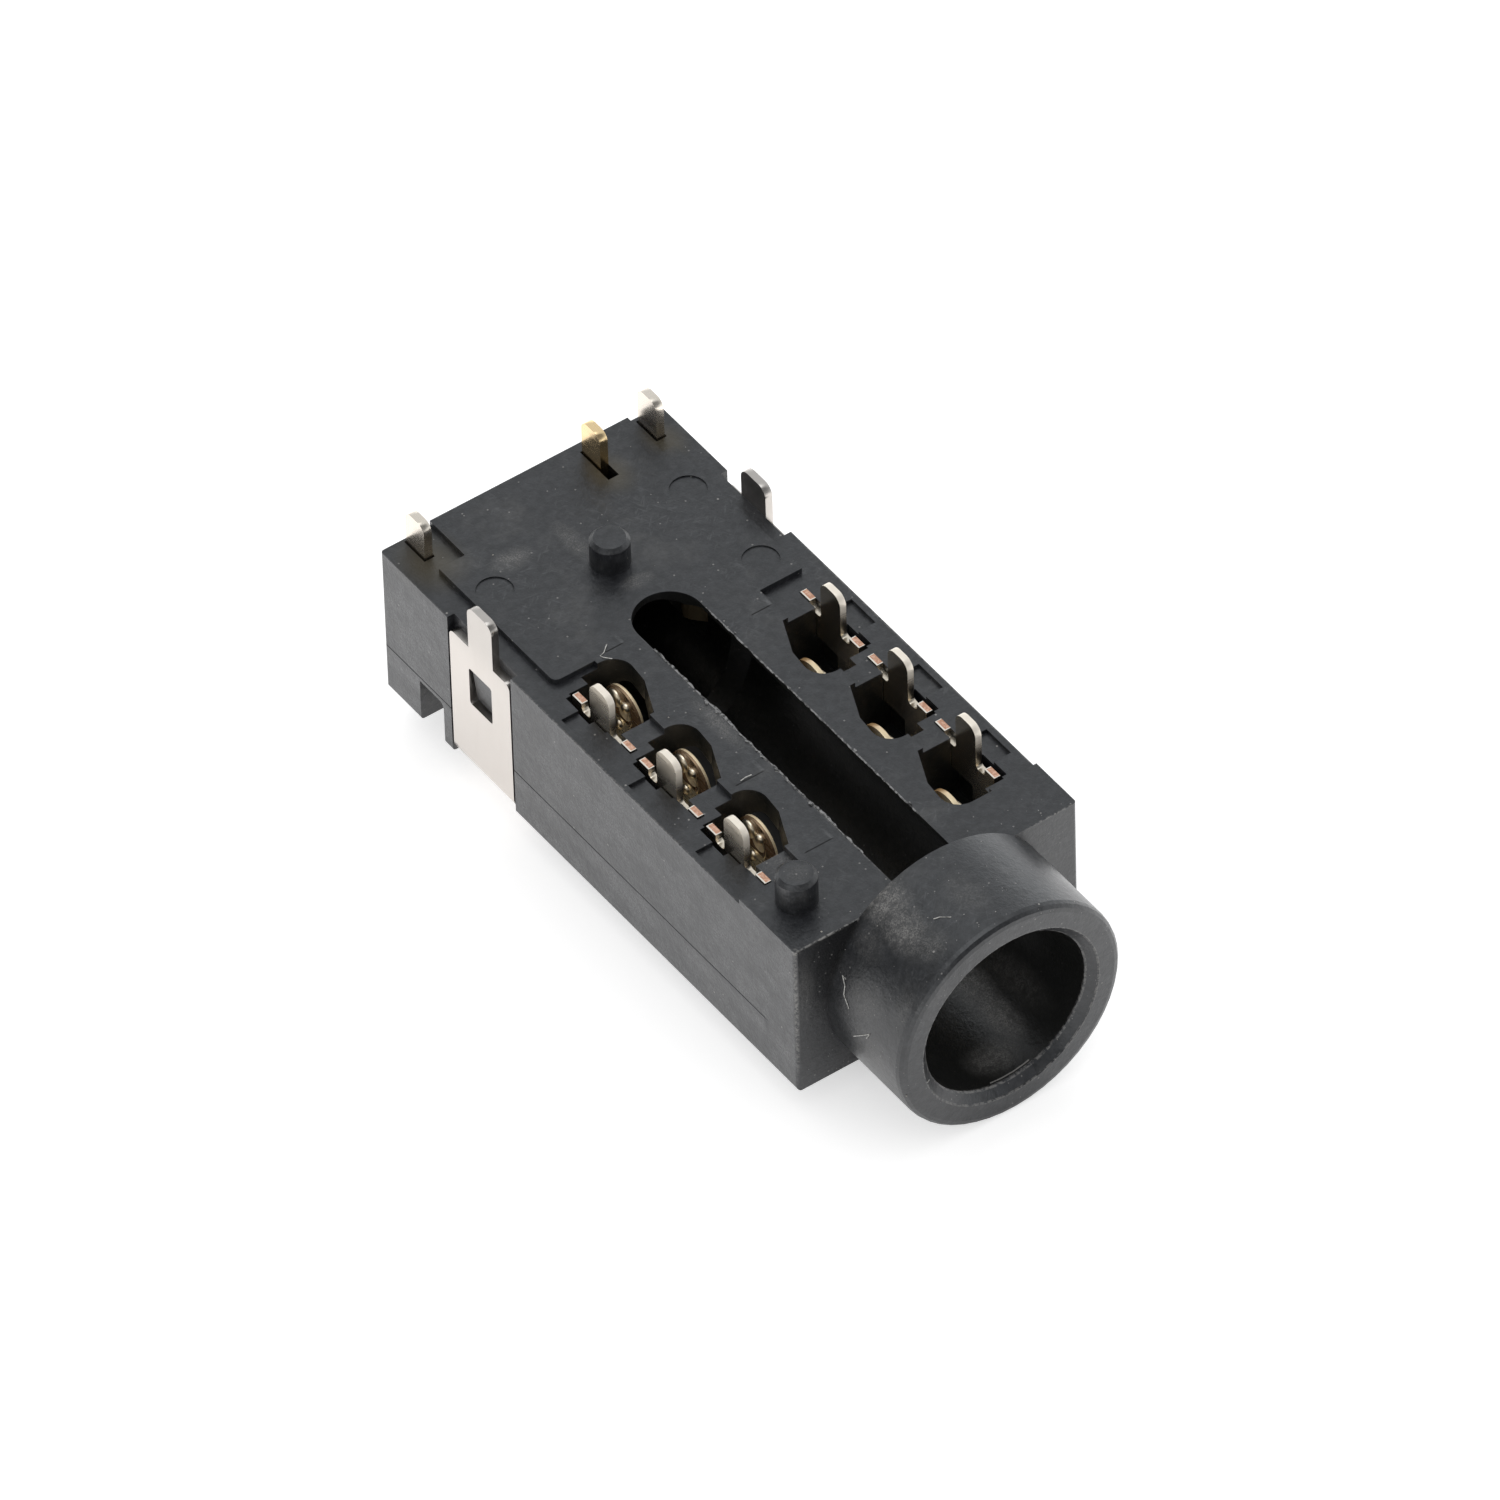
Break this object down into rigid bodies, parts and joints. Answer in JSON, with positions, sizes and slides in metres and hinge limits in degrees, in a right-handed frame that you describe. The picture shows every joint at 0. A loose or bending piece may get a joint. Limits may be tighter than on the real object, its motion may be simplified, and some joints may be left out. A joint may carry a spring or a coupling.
{
  "type": "audio jack socket",
  "caption": "Board-mounted socket for a 3.5 mm audio plug: black moulded body with a round nose, a plug bore open to slots and wells, stamped spring contacts and a metal clip.",
  "frame": {"origin": "on the axis of the plug bore, in the plane of the body's front face, from which the nose stands out", "axes": "+Y along the plug axis from the mouth to the rear, +X to the right seen from the mouth with the pins up, +Z towards the circuit board, the way the pins and pegs point"},
  "size_m": [0.0064, 0.0154, 0.0051],
  "materials": {
    "housing_plastic": "satin black moulding",
    "clip_plating": "matt bright-tin plating",
    "contact_plating": "worn nickel plating with bare sheared ends",
    "gold_plating": "gold plating",
    "nickel_plating": "nickel plating"
  },
  "bodies": {
    "root": {"housing": "housing_plastic", "retaining_clip": "clip_plating", "left_contact_1": "contact_plating", "left_contact_2": "contact_plating", "left_contact_3": "contact_plating", "right_contact_1": "contact_plating", "right_contact_2": "contact_plating", "right_contact_3": "contact_plating", "tip_contact": "gold_plating", "switch_terminal": "nickel_plating", "detect_contact": "nickel_plating"}
  },
  "joints": []
}
